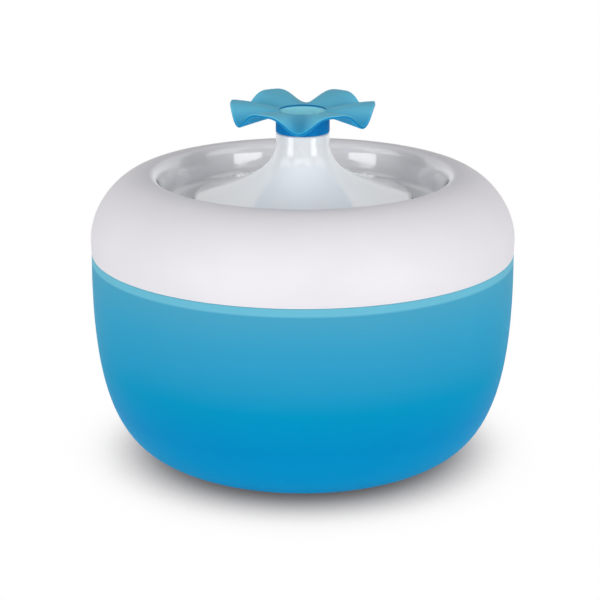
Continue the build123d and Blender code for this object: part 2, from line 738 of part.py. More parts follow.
# ---------------------------------------------------------------- write every node
def pieces():
    return {
        "reservoir_bowl": reservoir_bowl(),
        "silicone_feet": silicone_feet(),
        "lead_grommet": lead_grommet(),
        "top_ring": top_ring(),
        "filter_tray": filter_tray(),
        "filter_frame": filter_frame(),
        "carbon_bed": filter_bed(filter_bottom_z + 1.3, filter_bottom_z + 6.4),
        "cotton_pad": filter_bed(filter_bottom_z + 6.5, filter_top_z + 0.4),
        "dome": dome(),
        "flow_nozzle": flow_nozzle(),
        "nozzle_o_ring": nozzle_o_ring(),
        "flower_spout": flower_spout(),
        "pump_housing": pump_housing(),
        "stator_core": stator_core(),
        "winding_bobbin": winding_bobbin(),
        "stator_winding": stator_winding(),
        "epoxy_potting": epoxy_potting(),
        "lead_gland": lead_gland(),
        "suction_cups": suction_cups(),
        "rotor_shaft": rotor_shaft(),
        "rear_bush": shaft_bush(well_end_y + 0.05, well_end_y + 0.05 + bush_length, bush_r),
        "rotor_magnet": rotor_magnet(),
        "impeller": impeller(),
        "volute_cover": volute_cover(),
        "front_bush": shaft_bush(volute_front_y - 1.35, volute_front_y + 0.9, front_bush_r),
        "intake_cover": intake_cover(),
        "prefilter_sponge": prefilter_sponge(),
        "flow_dial": flow_dial(),
        "riser_tube": riser_tube(),
        "riser_seal": riser_seal(),
    }


os.makedirs("parts", exist_ok=True)
for name, shape in pieces().items():
    export_step(shape, f"parts/{name}.step")
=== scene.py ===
# %% [markdown]
# # A flower water fountain for cats and small dogs
# The engineering model arrives as a fixed frame: thirty pieces at their real size, in metres.
# This lesson gives each piece the surface that it has on the real product, models the soft fillings
# of the filter and the pump, and sets up a plain studio.
# We start by loading the frame.

# %% Load the frame
import math
import random

import bmesh
import bpy
from mathutils import Euler, Matrix, Vector


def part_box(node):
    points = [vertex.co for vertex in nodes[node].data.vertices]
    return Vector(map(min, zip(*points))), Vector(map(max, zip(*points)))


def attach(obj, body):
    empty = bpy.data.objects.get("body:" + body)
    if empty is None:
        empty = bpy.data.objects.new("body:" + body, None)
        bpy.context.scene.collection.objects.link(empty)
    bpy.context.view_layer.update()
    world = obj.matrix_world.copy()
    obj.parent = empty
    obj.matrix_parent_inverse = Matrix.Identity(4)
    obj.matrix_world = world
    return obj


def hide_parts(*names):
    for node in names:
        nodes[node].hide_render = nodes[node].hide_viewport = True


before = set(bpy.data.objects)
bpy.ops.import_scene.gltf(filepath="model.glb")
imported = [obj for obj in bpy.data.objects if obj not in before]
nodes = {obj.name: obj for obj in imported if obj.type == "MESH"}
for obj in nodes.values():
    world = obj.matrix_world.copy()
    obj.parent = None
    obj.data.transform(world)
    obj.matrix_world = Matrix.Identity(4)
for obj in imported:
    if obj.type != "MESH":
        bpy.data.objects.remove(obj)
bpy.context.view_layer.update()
mm = 0.001
print("pieces in the frame:", len(nodes))

# %% [markdown]
# ## The camera
# We look at the fountain from a little above its rim, so that the moat and the dome show. A long
# lens from a metre away keeps the ring's ellipse gentle and the bowl's sides nearly parallel. The
# camera is placed by its distance and its height above the horizon, aimed at a point on the
# fountain's axis. A small shift of the film then centres the fountain in the frame.

# %% The camera
aim = Vector((0, 0, 90 * mm))
camera_distance = 1.0
camera_elevation = math.radians(16.56)
film_width = 36.0
frame_pixels = 600
focal_pixels = 1897.4          # focal length in pixels of a 600-pixel frame
aim_pixel = (302.7, 283.6)     # where the aim point falls in that frame

camera = bpy.data.objects.new("camera", bpy.data.cameras.new("camera"))
bpy.context.collection.objects.link(camera)
backwards = Vector((0, -math.cos(camera_elevation), math.sin(camera_elevation)))
camera.location = aim + camera_distance * backwards
camera.rotation_euler = (-backwards).to_track_quat("-Z", "Y").to_euler()
camera.data.sensor_width = film_width
camera.data.lens = focal_pixels / frame_pixels * film_width
camera.data.shift_x = (frame_pixels / 2 - aim_pixel[0]) / frame_pixels
camera.data.shift_y = (aim_pixel[1] - frame_pixels / 2) / frame_pixels
bpy.context.scene.camera = camera
print("lens:", round(camera.data.lens, 1), "mm")

# %% [markdown]
# ## Helpers for materials
# Designers give colours as sRGB hex codes, and shaders work in linear light, so one function
# turns one into the other.

# %% Colour helper
def linear(hex_code):
    """An sRGB hex code such as #2b9cc9 as a linear colour with full alpha."""
    channels = [int(hex_code[i:i + 2], 16) / 255 for i in (1, 3, 5)]
    return (*[c / 12.92 if c <= 0.04045 else ((c + 0.055) / 1.055) ** 2.4 for c in channels], 1.0)


print("the grey #808080 in linear light:", round(linear("#808080")[0], 3))

# %% [markdown]
# The next three helpers work on one material: the first adds a node, the second starts a material
# with its shader's plain values, and the third links a node's output to the shader. The last one
# gives a finished material to pieces of the frame.

# %% Node helpers
def add(material, kind, values=None, links=None, **settings):
    """Adds a node. values and links name its sockets; settings are its other properties."""
    node = material.node_tree.nodes.new(kind)
    for name, value in settings.items():
        setattr(node, name, value)
    for socket, value in (values or {}).items():
        node.inputs[socket].default_value = value
    for socket, source in (links or {}).items():
        material.node_tree.links.new(source, node.inputs[socket])
    return node


def new_material(name, **values):
    """A material with one Principled shader. values are its sockets, with _ for a space."""
    material = bpy.data.materials.new(name)
    material.use_nodes = True
    shader = material.node_tree.nodes["Principled BSDF"]
    for socket, value in values.items():
        shader.inputs[socket.replace("_", " ")].default_value = value
    return material, shader


def link(material, source, shader, socket):
    """Drives one socket of the shader with another node's output."""
    material.node_tree.links.new(source, shader.inputs[socket])


def paint(material, *names):
    """Gives CAD pieces this material in place of the one they came with."""
    for name in names:
        nodes[name].data.materials.clear()
        nodes[name].data.materials.append(material)
    print(material.name, "on", ", ".join(names))


# %% [markdown]
# No moulded surface is perfectly even. Two small recipes give every plastic here what the eye
# expects: pigment that drifts by a shade over a few centimetres, and the fine relief that the
# mould's own surface prints into the skin. Both read Object coordinates, so they stay on the piece
# when it moves.

# %% Drift of colour and mould grain
def drift(material, shader, shade, size):
    """Lets the base colour drift towards a second shade, in soft patches of the given size."""
    place = add(material, "ShaderNodeTexCoord")
    patches = add(
        material, "ShaderNodeTexNoise",
        {"Scale": 1 / size, "Detail": 3.0}, {"Vector": place.outputs["Object"]},
    )
    share = add(
        material, "ShaderNodeMapRange",
        {"From Min": 0.35, "From Max": 0.65}, {"Value": patches.outputs["Fac"]},
    )
    base = tuple(shader.inputs["Base Color"].default_value)
    colour = add(
        material, "ShaderNodeMix",
        {6: base, 7: linear(shade)}, {0: share.outputs["Result"]}, data_type="RGBA",
    )
    link(material, colour.outputs[2], shader, "Base Color")
    return colour.outputs[2]


def mould_grain(material, shader, size, depth):
    """Relief of the given grain size and depth."""
    place = add(material, "ShaderNodeTexCoord")
    relief = add(
        material, "ShaderNodeTexNoise",
        {"Scale": 1 / size, "Detail": 2.0}, {"Vector": place.outputs["Object"]},
    )
    bump = add(
        material, "ShaderNodeBump",
        {"Strength": 1.0, "Distance": depth}, {"Height": relief.outputs["Fac"]},
    )
    link(material, bump.outputs["Normal"], shader, "Normal")


# %% [markdown]
# The fountain is round, so two measures tell most places on it apart: the height above the table
# and the distance from the axis. Object coordinates give both.

# %% Height and distance from the axis
def from_axis(material):
    """The height above the table and the distance from the fountain's axis, as two outputs."""
    place = add(material, "ShaderNodeTexCoord")
    height = add(material, "ShaderNodeSeparateXYZ", links={0: place.outputs["Object"]})
    flat = add(
        material, "ShaderNodeVectorMath",
        {1: (1, 1, 0)}, {0: place.outputs["Object"]}, operation="MULTIPLY",
    )
    radius = add(
        material, "ShaderNodeVectorMath", links={0: flat.outputs["Vector"]}, operation="LENGTH",
    )
    return height.outputs["Z"], radius.outputs["Value"]


# %% [markdown]
# ## Frosted polypropylene: the bowl
# The bowl is moulded in tinted polypropylene against a blasted steel mould. That leaves a fine
# matt grain, so highlights spread into a haze, and light that enters the wall scatters and comes
# out nearby. Near the rim the white skirt of the top ring stands behind the wall, and the blue
# over it looks pale. We build that from the height of the surface alone: a ramp from the deep
# blue of the base to the lighter wall, and a pale band where the skirt is. The ramp's paler upper
# wall is painted haze, a painted reflection of the softboxes.

# %% Frosted polypropylene
rim_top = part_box("reservoir_bowl")[1].z
skirt_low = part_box("top_ring")[0].z
blast_grain = 0.6 * mm         # drawn some ten times coarser than blasting leaves it, to show at all
bowl_tint_and_painted_haze = (               # share of the bowl's height, colour
    (0.0, "#00aeea"), (0.15, "#009fd8"), (0.3, "#0093cc"), (0.5, "#0097c5"), (0.62, "#249ac5"),
    (0.8, "#359dc4"), (1.0, "#4ba0bf"),
)
band_colour = "#6ab8d0"
print("bowl rim at", round(rim_top / mm, 1), "mm, skirt from", round(skirt_low / mm, 1), "mm")


def frosted_polypropylene():
    material, shader = new_material(
        "frosted polypropylene", Roughness=0.5, IOR=1.49, Specular_IOR_Level=0.03,
        Subsurface_Weight=0.25, Subsurface_Radius=(0.3, 0.8, 1.0), Subsurface_Scale=4 * mm,
    )
    height, _ = from_axis(material)
    share = add(material, "ShaderNodeMapRange", {"From Max": rim_top}, {"Value": height})
    # painted reflection: the ramp pales the upper wall as the softboxes' haze would
    wall = add(material, "ShaderNodeValToRGB", links={"Fac": share.outputs["Result"]})
    stops = wall.color_ramp.elements
    stops[0].color = linear(bowl_tint_and_painted_haze[0][1])
    stops[1].color = linear(bowl_tint_and_painted_haze[-1][1])
    for position, colour in bowl_tint_and_painted_haze[1:-1]:
        stops.new(position).color = linear(colour)
    band = add(
        material, "ShaderNodeMapRange",
        {"From Min": skirt_low - 0.6 * mm, "From Max": skirt_low + 0.4 * mm}, {"Value": height},
    )
    colour = add(
        material, "ShaderNodeMix", {7: linear(band_colour)},
        {0: band.outputs["Result"], 6: wall.outputs["Color"]}, data_type="RGBA",
    )
    link(material, colour.outputs[2], shader, "Base Color")
    mould_grain(material, shader, blast_grain, 0.025 * mm)
    return material


paint(frosted_polypropylene(), "reservoir_bowl")

# %% [markdown]
# ## Satin and polished ABS: the top ring
# The ring is white ABS. Its outside is satin, and its moat is polished, so that water sheets
# over it and it is easy to wipe, under a clear lacquer that doubles its reflections. It is one
# moulding, so one material covers both. Inside the crown the roughness falls from satin to polish
# and the lacquer begins. There the white is also painted a shade lighter: painted light on the moat.

# %% Satin and polished ABS
crown_radius = 81 * mm         # where the ring's top turns down into the moat
polish_reach = 5 * mm          # over this width the satin gives way to polish


def ring_abs():
    material, shader = new_material(
        "white ABS, satin and polished", Base_Color=linear("#e4e1e6"), IOR=1.54,
        Specular_IOR_Level=0.3,
    )
    _, radius = from_axis(material)
    edge = crown_radius - 1 * mm
    polish = add(
        material, "ShaderNodeMapRange",
        {"From Min": edge - polish_reach, "From Max": edge, "To Min": 1.0, "To Max": 0.0},
        {"Value": radius}, interpolation_type="SMOOTHSTEP",
    )
    finish = add(
        material, "ShaderNodeMapRange",
        {"To Min": 0.5, "To Max": 0.09}, {"Value": polish.outputs["Result"]},
    )
    link(material, finish.outputs["Result"], shader, "Roughness")
    link(material, polish.outputs["Result"], shader, "Coat Weight")
    satin = drift(material, shader, "#e0dee3", 40 * mm)
    # painted light: inside the crown the satin white is mixed towards a lighter white
    colour = add(
        material, "ShaderNodeMix", {7: linear("#f6f5f7")},
        {0: polish.outputs["Result"], 6: satin}, data_type="RGBA",
    )
    link(material, colour.outputs[2], shader, "Base Color")
    return material


paint(ring_abs(), "top_ring")

# %% [markdown]
# ## Polished ABS: the dome
# The dome is the same plastic as the ring, moulded against a polished insert. Its gloss is what
# makes the two softboxes show as narrow windows on the neck. A polished moulding still has a very
# shallow waviness, and a relief of twenty microns over two centimetres gives it.

# %% Polished ABS
def polished_abs():
    material, shader = new_material(
        "white ABS, polished", Base_Color=linear("#fbfaf9"), Roughness=0.1, IOR=1.54,
    )
    drift(material, shader, "#f8f7f6", 30 * mm)
    mould_grain(material, shader, 22 * mm, 0.02 * mm)
    return material


paint(polished_abs(), "dome")

# %% [markdown]
# ## Tinted polycarbonate: the flower
# The flower is a thin sheet of blue polycarbonate that passes some light. The collar, a deeper wall
# round the nozzle, looks a full blue. The other zones are painted light and shade: the raised crests
# of the petals are painted pale, a painted highlight on the tops, while the troughs keep the deeper
# base; where the sheet stands upright, at the rim of every petal, a dark line of painted shade is
# drawn; the undersides are painted lighter against their shade; and inside the mouth the wall is
# painted pale, as painted light from the sleeve behind it. Heights, the distance from the axis and
# the surface's own direction tell these places apart.

# %% Tinted polycarbonate
mouth_radius = 12.2 * mm
mouth_height = 183.2 * mm      # of the mouth's rim above the table
collar_radius = 14.7 * mm
trough_colour = "#3aa8d5"


def flower_colours_and_painted_light(height, radius, facing):
    """Colours and where they lie, most of them painted light and shade: a measure, where the colour
    starts and where it is full.
    """
    rim = mouth_height
    return (
        # painted highlight: the crests are painted pale
        ("#66bfdd", [(height, rim - 4 * mm, rim + 1 * mm)]),     # crests
        # painted shade: the upright faces, the rims of the petals, are painted dark
        ("#0f7bb0", [(facing, 0.5, 0.1)]),                       # edges, seen along the sheet
        # painted light: the undersides, face down and in shade, are painted lighter
        ("#2ba3d6", [(facing, -0.2, -0.6)]),                     # undersides
        ("#0080c4", [
            (radius, collar_radius + 0.5 * mm, collar_radius - 0.5 * mm),
            (height, rim - 1 * mm, rim - 2 * mm),
        ]),                                                      # collar
        # painted light: the wall inside the mouth, below its lip, is painted the pale light of the
        # sleeve
        ("#a4edfb", [
            (radius, mouth_radius + 0.4 * mm, mouth_radius + 0.2 * mm),
            (height, rim - 0.6 * mm, rim - 0.9 * mm),
        ]),                                                      # wall of the mouth
    )


def tinted_polycarbonate():
    material, shader = new_material(
        "tinted polycarbonate", Roughness=0.6, IOR=1.5, Specular_IOR_Level=0.08,
        Subsurface_Weight=0.35, Subsurface_Radius=(0.2, 0.8, 1.0), Subsurface_Scale=3 * mm,
    )
    height, radius = from_axis(material)
    place = add(material, "ShaderNodeTexCoord")
    facing = add(material, "ShaderNodeSeparateXYZ", links={0: place.outputs["Normal"]})
    trough = add(material, "ShaderNodeRGB")
    trough.outputs[0].default_value = linear(trough_colour)
    colour = trough.outputs[0]
    for hex_code, limits in flower_colours_and_painted_light(height, radius, facing.outputs["Z"]):
        share = None
        for source, start, full in limits:
            part = add(
                material, "ShaderNodeMapRange",
                {"From Min": start, "From Max": full}, {"Value": source},
            )
            if share:
                part = add(
                    material, "ShaderNodeMath", links={0: share, 1: part.outputs[0]},
                    operation="MULTIPLY",
                )
            share = part.outputs[0]
        mix = add(
            material, "ShaderNodeMix",
            {7: linear(hex_code)}, {0: share, 6: colour}, data_type="RGBA",
        )
        colour = mix.outputs[2]
    link(material, colour, shader, "Base Color")
    mould_grain(material, shader, 9 * mm, 0.02 * mm)
    return material


paint(tinted_polycarbonate(), "flower_spout")

# %% [markdown]
# ## Aqua polypropylene: the flow nozzle
# The nozzle's sleeve stands inside the flower and shows as a paler ring of aqua in its mouth.
# Unfilled polypropylene is waxy: light enters it, and edges and corners look soft.

# %% Aqua polypropylene
def aqua_polypropylene():
    material, shader = new_material(
        "aqua polypropylene", Base_Color=linear("#a6ebf8"), Roughness=0.3, IOR=1.49,
        Subsurface_Weight=0.3, Subsurface_Radius=(0.4, 0.9, 1.0), Subsurface_Scale=2 * mm,
    )
    drift(material, shader, "#9ce4f3", 6 * mm)
    return material


paint(aqua_polypropylene(), "flow_nozzle")

# %% [markdown]
# ## The plain mouldings
# Most other pieces differ only in their plastic or rubber: its pigment, how much it shines and
# the grain of its mould. One recipe takes those numbers, and each call below says what the piece
# is made of and what that gives the eye. A mould's grain is finer than a tenth of a millimetre, so
# it is drawn about ten times coarser, to show at all.

# %% Recipe for a plain moulding
def moulding(name, colour, shade, grain, depth, **values):
    """A moulded plastic or rubber with a drift between two near shades and a grained skin."""
    material, shader = new_material(name, Base_Color=linear(colour), **values)
    drift(material, shader, shade, 12 * mm)
    mould_grain(material, shader, grain, depth)
    return material


# %% Mouldings of the filter, the seals and the pump
# Natural white polypropylene: a soft waxy white with a faint grain.
paint(
    moulding(
        "white polypropylene", "#eef0f2", "#e6e9ec", 1.0 * mm, 0.02 * mm, Roughness=0.34, IOR=1.49,
    ),
    "filter_tray", "filter_frame",
)
# Clear silicone rubber: milky, and duller than plastic.
paint(
    moulding(
        "clear silicone rubber", "#e3e9eb", "#dae1e4", 0.8 * mm, 0.02 * mm, Roughness=0.45,
        IOR=1.41, Transmission_Weight=0.15,
    ),
    "silicone_feet", "lead_grommet", "nozzle_o_ring", "riser_seal",
)
# Black ABS against a spark-eroded mould: an even, pebbled matt.
paint(
    moulding(
        "black ABS, spark-eroded", "#2b2e33", "#33363c", 0.7 * mm, 0.04 * mm, Roughness=0.52,
        IOR=1.54,
    ),
    "pump_housing", "intake_cover", "volute_cover",
)
# Blue ABS: the one piece of the pump that a hand looks for.
paint(
    moulding("blue ABS", "#2b7fb0", "#2776a6", 0.8 * mm, 0.02 * mm, Roughness=0.38, IOR=1.54),
    "flow_dial",
)
# Natural nylon: a creamy, slightly waxy white.
paint(
    moulding("natural nylon", "#e2dccb", "#d8d0bb", 0.9 * mm, 0.02 * mm, Roughness=0.45, IOR=1.53),
    "winding_bobbin",
)
# White acetal: a hard, slippery plastic for moving pieces, with a low sheen.
paint(
    moulding("white acetal", "#e9ebec", "#e1e4e6", 0.8 * mm, 0.01 * mm, Roughness=0.3, IOR=1.48),
    "impeller",
)
# Nitrile rubber: near black, with the dull bloom of rubber.
paint(
    moulding(
        "nitrile rubber", "#1e2022", "#282b2e", 0.6 * mm, 0.03 * mm, Roughness=0.68, IOR=1.52,
    ),
    "suction_cups", "lead_gland", "rear_bush", "front_bush",
)

# %% [markdown]
# ## Rigid polycarbonate pipe: the riser
# The riser is an extruded clear pipe. Extrusion leaves faint lines along it, which we draw as a
# noise stretched along the pipe.

# %% Clear riser pipe
line_width = 1.11 * mm         # real ones are hair-fine
line_length = 83 * mm


def clear_pipe():
    material, shader = new_material(
        "clear polycarbonate, extruded", Base_Color=linear("#e6eef1"), Roughness=0.12, IOR=1.585,
        Transmission_Weight=0.85,
    )
    place = add(material, "ShaderNodeTexCoord")
    stretch = add(
        material, "ShaderNodeMapping", {"Scale": (1 / line_width, 1 / line_width, 1 / line_length)},
        {"Vector": place.outputs["Object"]},
    )
    lines = add(
        material, "ShaderNodeTexNoise",
        {"Scale": 1.0, "Detail": 1.0}, {"Vector": stretch.outputs["Vector"]},
    )
    bump = add(
        material, "ShaderNodeBump",
        {"Strength": 0.4, "Distance": 0.03 * mm}, {"Height": lines.outputs["Fac"]},
    )
    link(material, bump.outputs["Normal"], shader, "Normal")
    return material


paint(clear_pipe(), "riser_tube")

# %% [markdown]
# ## Inside the motor
# The motor's core is a stack of thin steel sheets, and its coil is enamelled copper wire. Both
# are stripes at a known pitch: half a millimetre for the sheets, and a wire thickness for the
# coil. A Wave texture draws one stripe for each turn of its scale, so the scale is worked out
# from the pitch.

# %% Stripes at a real pitch
def stripes(material, shader, pitch, axis, dark, light, depth):
    """Colour and relief in stripes that repeat at the given pitch along an axis."""
    place = add(material, "ShaderNodeTexCoord")
    wave = add(
        material, "ShaderNodeTexWave", {"Scale": math.pi / (10 * pitch), "Distortion": 0.0},
        {"Vector": place.outputs["Object"]}, bands_direction=axis,
    )
    colour = add(
        material, "ShaderNodeMix",
        {6: linear(dark), 7: linear(light)}, {0: wave.outputs["Fac"]}, data_type="RGBA",
    )
    link(material, colour.outputs[2], shader, "Base Color")
    bump = add(material, "ShaderNodeBump", {"Distance": depth}, {"Height": wave.outputs["Fac"]})
    link(material, bump.outputs["Normal"], shader, "Normal")


# %% Metals, ferrite and epoxy of the motor
def motor_materials():
    # Silicon steel sheets, punched and stacked: a grey stripe for each sheet.
    core, shader = new_material("laminated steel", Metallic=1.0, Roughness=0.42)
    stripes(core, shader, 0.5 * mm, "Y", "#6f7276", "#a2a5a9", 0.05 * mm)
    # Enamelled copper: the enamel turns the metal a deep orange brown. The 0.2 mm wire is drawn at
    # 0.4 mm, so that single turns can be seen.
    coil, shader = new_material(
        "enamelled copper wire", Metallic=1.0, Roughness=0.28, Coat_Weight=0.6,
    )
    stripes(coil, shader, 0.4 * mm, "X", "#8a4220", "#c8743a", 0.1 * mm)
    # Ground steel bar: a bright line down its length.
    shaft, shader = new_material(
        "ground steel", Base_Color=linear("#c3c6ca"), Metallic=1.0, Roughness=0.22,
    )
    mould_grain(shaft, shader, 0.4 * mm, 0.004 * mm)
    # Ferrite: a fired, ground ceramic, dark grey and slightly grainy.
    ferrite, shader = new_material(
        "ferrite, ground", Base_Color=linear("#3b3c3f"), Roughness=0.5, IOR=2.2,
    )
    drift(ferrite, shader, "#2f3033", 1.2 * mm)
    # Cast epoxy: black and glossy, with a slow swell where it rose against the walls.
    epoxy, shader = new_material(
        "cast epoxy", Base_Color=linear("#17191c"), Roughness=0.14, IOR=1.55,
    )
    mould_grain(epoxy, shader, 8 * mm, 0.4 * mm)
    paint(core, "stator_core")
    paint(coil, "stator_winding")
    paint(shaft, "rotor_shaft")
    paint(ferrite, "rotor_magnet")
    paint(epoxy, "epoxy_potting")


motor_materials()

# %% [markdown]
# ## The soft fillings
# Three pieces of the frame stand in for soft or loose fillings, and a plain solid would not show
# what they are: the cotton pad and the carbon grains of the filter, and the sponge of the pump.
# Each is modelled here in the space that its solid holds, and rides on the same body.
# The helpers below take a shape out of the mesh editor and hand it to the frame, keep what a
# modifier made of it, and close its skin with even faces.

# %% Hand a filling over to the frame
def filling(name, shape, node, body, material):
    """An object made of an edited mesh, which stands for a CAD node and rides on its body."""
    mesh = bpy.data.meshes.new(name)
    shape.to_mesh(mesh)
    shape.free()
    mesh.materials.append(material)
    piece = bpy.data.objects.new(name, mesh)
    bpy.context.collection.objects.link(piece)
    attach(piece, body)
    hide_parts(node)
    return piece


# %% Modifiers and remeshing
def apply_modifiers(piece):
    """Keeps the shape that the modifiers give, and drops the modifiers."""
    shaped = piece.evaluated_get(bpy.context.evaluated_depsgraph_get())
    mesh = bpy.data.meshes.new_from_object(shaped)
    piece.modifiers.clear()
    piece.data = mesh


def voxel_remesh(piece, size):
    """Closes the surface with even quads of the given size."""
    voxels = piece.modifiers.new("voxels", "REMESH")
    voxels.mode = "VOXEL"
    voxels.voxel_size = size
    voxels.use_smooth_shade = True
    apply_modifiers(piece)


# %% [markdown]
# ## The carbon grains
# The filter's lower layer is crushed coconut-shell carbon, sieved to a few millimetres. A crushed
# grain is a small lump with flat broken faces, so an icosphere of twenty faces is enough for one.
# We lay two layers of them on a triangular grid, then shift, turn and stretch each by a seeded
# random amount, so that the bed looks poured and comes out the same every time.

# %% Crushed carbon
def crushed_carbon():
    # Coconut-shell carbon: nearly black, and dull, because every face is full of pores.
    material, shader = new_material(
        "crushed carbon", Base_Color=linear("#1a1b1d"), Roughness=0.72, IOR=1.6,
    )
    drift(material, shader, "#2b2c2f", 1.5 * mm)
    mould_grain(material, shader, 0.35 * mm, 0.06 * mm)
    return material


# %% Places for the grains
filter_bore = min(v.co.xy.length for v in nodes["carbon_bed"].data.vertices)
grain_radius = 1.5 * mm
grain_pitch = 2.75 * mm        # between neighbours, so that broken grains just touch
row_step = 0.866               # height of a triangle whose sides are 1
layer_shift = 0.33             # of a row, so that the upper grains lie over the gaps of the lower
print("bore of the filter:", round(filter_bore / mm, 1), "mm")


def grain_places(low, high):
    """Centres on a triangular grid in two layers, inside the ring that the CAD bed fills."""
    outer = high.x - grain_radius
    inner = filter_bore + grain_radius
    rows = int(outer / grain_pitch / row_step) + 1
    for layer, z in enumerate((low.z + grain_radius, high.z - grain_radius)):
        for row in range(-rows, rows + 1):
            for column in range(-rows, rows + 1):
                x = (column + 0.5 * ((row + layer) % 2)) * grain_pitch
                y = (row + layer_shift * layer) * row_step * grain_pitch
                if inner < math.hypot(x, y) < outer:
                    yield Vector((x, y, z))


# %% Carbon grains
grain_shift = (0.25 * mm, 0.25 * mm, 0.08 * mm)


def carbon_grains(material):
    low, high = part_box("carbon_bed")
    dice = random.Random(11)
    grain = bmesh.new()
    bmesh.ops.create_icosphere(grain, subdivisions=1, radius=grain_radius)
    lump = bpy.data.meshes.new("grain")
    grain.to_mesh(lump)
    grain.free()
    bed = bmesh.new()
    for place in grain_places(low, high):
        shift = Vector([dice.uniform(-reach, reach) for reach in grain_shift])
        turn = Euler([dice.uniform(0, math.tau) for _ in range(3)]).to_matrix().to_4x4()
        stretch = Matrix.Diagonal((*[dice.uniform(0.72, 1.0) for _ in range(3)], 1.0))
        laid = Matrix.Translation(place + shift) @ turn @ stretch
        lump.transform(laid)
        bed.from_mesh(lump)
        lump.transform(laid.inverted())
    piece = filling("carbon_grains", bed, "carbon_bed", "filter", material)
    bpy.data.meshes.remove(lump)
    faces = len(piece.data.polygons)
    print("carbon grains:", faces // 20, "faces:", faces)


carbon_grains(crushed_carbon())

# %% [markdown]
# ## The cotton pad
# The pad on top of the carbon is polyester wadding in a thin felt skin. It is welded shut at its
# two edges and in a pattern of spots, and swells between them. We spin its section into a ring,
# press the spots in, and let the cloth solver blow the skin up while the welds are held fast.

# %% Polyester wadding
wisp_size = 1.4 * mm           # the fibres are far finer, and show only as wisps


def polyester_wadding():
    # Fine white fibres, laid at random and faintly fuzzy. Twisted noise draws their wisps.
    material, shader = new_material(
        "polyester wadding", Roughness=0.95, IOR=1.5, Specular_IOR_Level=0.2, Sheen_Weight=0.3,
        Sheen_Roughness=0.6,
    )
    place = add(material, "ShaderNodeTexCoord")
    fibres = add(
        material, "ShaderNodeTexNoise",
        {"Scale": 1 / wisp_size, "Detail": 5.0, "Roughness": 0.65, "Distortion": 2.0},
        {"Vector": place.outputs["Object"]},
    )
    colour = add(
        material, "ShaderNodeMix",
        {6: linear("#d8d7d0"), 7: linear("#f6f5f1")}, {0: fibres.outputs["Fac"]}, data_type="RGBA",
    )
    link(material, colour.outputs[2], shader, "Base Color")
    bump = add(
        material, "ShaderNodeBump", {"Distance": 0.25 * mm}, {"Height": fibres.outputs["Fac"]},
    )
    link(material, bump.outputs["Normal"], shader, "Normal")
    return material


# %% Pad: its section
swell_room = 1.0 * mm          # left above the skin for the swelling
edge_weld = 1.4 * mm           # width and thickness of the welded edges


def pad_section(low, high):
    """Half the pad's section, as (radius, height) from the inner edge up and over to the outer."""
    inner = filter_bore + 0.1 * mm
    outer = high.x - 0.1 * mm
    middle = low.z + 2.2 * mm
    top = high.z - swell_room
    bottom = low.z + 0.3 * mm
    half = edge_weld / 2
    return (
        (inner, middle - half), (inner, middle + half), (inner + 2.4 * mm, top - 0.6 * mm),
        (inner + 6 * mm, top), (outer - 6 * mm, top), (outer - 2.4 * mm, top - 0.6 * mm),
        (outer, middle + half), (outer, middle - half),
        (outer - 2 * mm, bottom), (inner + 2 * mm, bottom),
    )


# %% Pad: its welds
pad_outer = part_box("cotton_pad")[1].x
weld_rows = ((24 * mm, 10, 0.0), (34.6 * mm, 16, 0.5), (45.2 * mm, 20, 0.0))  # radius, spots, turn
weld_radius = 1.7 * mm
weld_depth = 3.0 * mm


def weld_spots():
    """The centres of the spots, in rows round the axis. A row is turned by a part of its step."""
    for radius, count, turn in weld_rows:
        for k in range(count):
            angle = math.tau * (k + turn) / count
            yield Vector((radius * math.cos(angle), radius * math.sin(angle)))


def press_welds(piece, top):
    """Presses the top skin down at each spot, and returns the points that the welds hold."""
    spots = list(weld_spots())
    held = []
    for vertex in piece.data.vertices:
        near = min((vertex.co.xy - spot).length for spot in spots)
        if vertex.co.z > top - 2.5 * mm:
            vertex.co.z -= weld_depth * math.exp(-((near / weld_radius) ** 2))
        radius = vertex.co.xy.length
        in_spot = near < 0.8 * weld_radius
        in_edge = radius < filter_bore + edge_weld or radius > pad_outer - edge_weld
        if in_spot or in_edge:
            held.append(vertex.index)
    return held


print("weld spots:", len(list(weld_spots())))


# %% Pad: swell between the welds
solver_steps = 20


def swell(piece, held, pressure, most):
    """Blows the skin up with the cloth solver. No point ends further than most from its start."""
    start = [vertex.co.copy() for vertex in piece.data.vertices]
    group = piece.vertex_groups.new(name="welds")
    group.add(held, 1.0, "REPLACE")
    cloth = piece.modifiers.new("wadding", "CLOTH")
    cloth.settings.vertex_group_mass = group.name
    cloth.settings.use_pressure = True
    cloth.settings.uniform_pressure_force = pressure
    cloth.settings.effector_weights.gravity = 0
    for number in range(1, solver_steps + 1):
        bpy.context.scene.frame_set(number)
    apply_modifiers(piece)
    bpy.context.scene.frame_set(1)
    furthest = 0
    for vertex, was in zip(piece.data.vertices, start):
        move = vertex.co - was
        furthest = max(furthest, move.length)
        vertex.co = was + move * min(1, most / max(move.length, 1e-9))
    print("the skin swelled by up to", round(furthest / mm, 1), "mm, capped at", most / mm, "mm")


# %% Pad: put together
skin_mesh = 1.2 * mm           # edge length of the skin's faces


